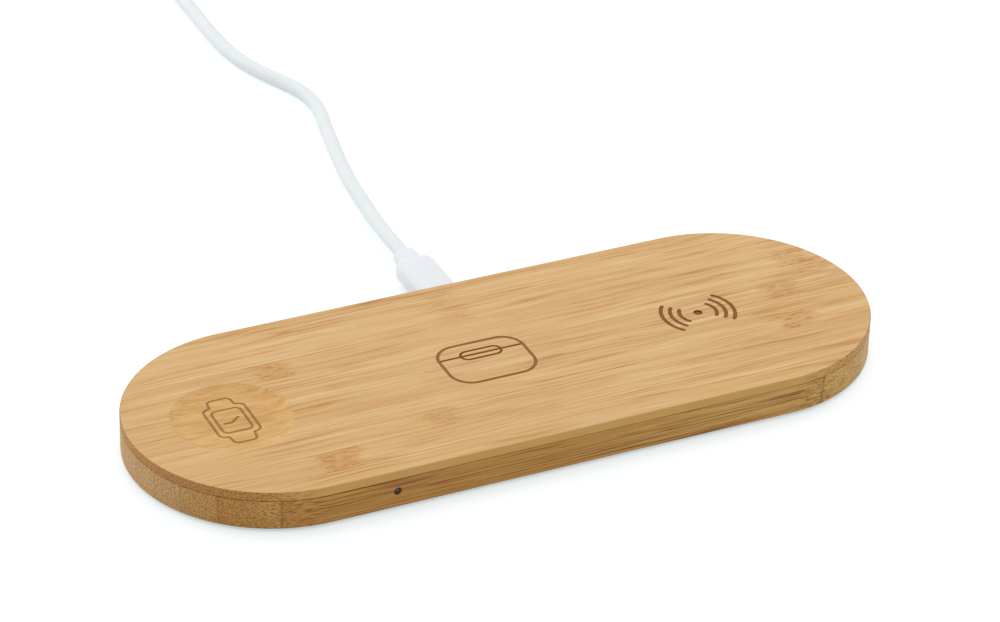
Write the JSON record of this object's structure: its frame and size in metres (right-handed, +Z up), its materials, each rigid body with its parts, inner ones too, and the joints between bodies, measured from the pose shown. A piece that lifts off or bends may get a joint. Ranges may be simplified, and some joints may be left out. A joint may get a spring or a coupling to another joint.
{
  "type": "wireless charger",
  "caption": "Long round-ended bamboo charging pad with engraved places for a phone, an earbud case and a watch, a shallow watch dish and a white cable plugged into its rear edge.",
  "frame": {"origin": "middle of the pad's footprint, on the desk under its feet", "axes": "+X along the pad towards the phone's place, +Y to the rear edge where the cable is plugged in, +Z up"},
  "size_m": [0.226, 0.3744, 0.0126],
  "materials": {
    "bamboo_base": "laminated bamboo, oiled, darker end grain",
    "bamboo_panel": "light bamboo strips, sanded and oiled, with burnt engraved lines",
    "silicone": "matte translucent grey",
    "litz_wire": "enamelled copper strands",
    "ferrite": "matte black sintered",
    "foam_tape": "matte foam",
    "magnet": "nickel plated",
    "board": "green solder lacquer",
    "chip": "matte black",
    "capacitor": "matte ceramic",
    "plated_steel": "nickel plated sheet",
    "black_plastic": "matte black",
    "emitter": "clear resin over a light emitter",
    "smoked_lens": "dark smoked, polished",
    "white_plastic": "satin white",
    "cable_sheath": "smooth soft white",
    "woven_tie": "grey woven hook and loop tape"
  },
  "bodies": {
    "charger": {"base_body": "bamboo_base", "top_panel": "bamboo_panel", "foot_front_left": "silicone", "foot_front_right": "silicone", "foot_rear_left": "silicone", "foot_rear_right": "silicone", "phone_coil": "litz_wire", "earbud_coil": "litz_wire", "watch_coil": "litz_wire", "phone_ferrite": "ferrite", "earbud_ferrite": "ferrite", "watch_ferrite": "ferrite", "phone_coil_tape": "foam_tape", "earbud_coil_tape": "foam_tape", "watch_coil_tape": "foam_tape", "watch_magnet": "magnet", "main_board": "board", "board_tape": "foam_tape", "phone_driver_chip": "chip", "earbud_driver_chip": "chip", "watch_driver_chip": "chip", "phone_capacitor": "capacitor", "earbud_capacitor": "capacitor", "watch_capacitor": "capacitor", "input_capacitor": "capacitor", "power_inductor": "ferrite", "usb_c_port_shell": "plated_steel", "usb_c_port_tongue": "black_plastic", "status_led": "emitter", "light_pipe": "smoked_lens"},
    "cable": {"usb_c_plug_shell": "plated_steel", "usb_c_overmold": "white_plastic", "usb_c_strain_relief": "white_plastic", "cable_run": "cable_sheath", "cable_coil": "cable_sheath", "cable_tie": "woven_tie", "cable_tail": "cable_sheath", "usb_a_strain_relief": "white_plastic", "usb_a_overmold": "white_plastic", "usb_a_shell": "plated_steel", "usb_a_tongue": "white_plastic"}
  },
  "joints": [
    {"name": "cable_unplug", "type": "slide", "parent": "charger", "child": "cable", "axis": [0, 1, 0], "range_m": [0, 0.01]}
  ]
}
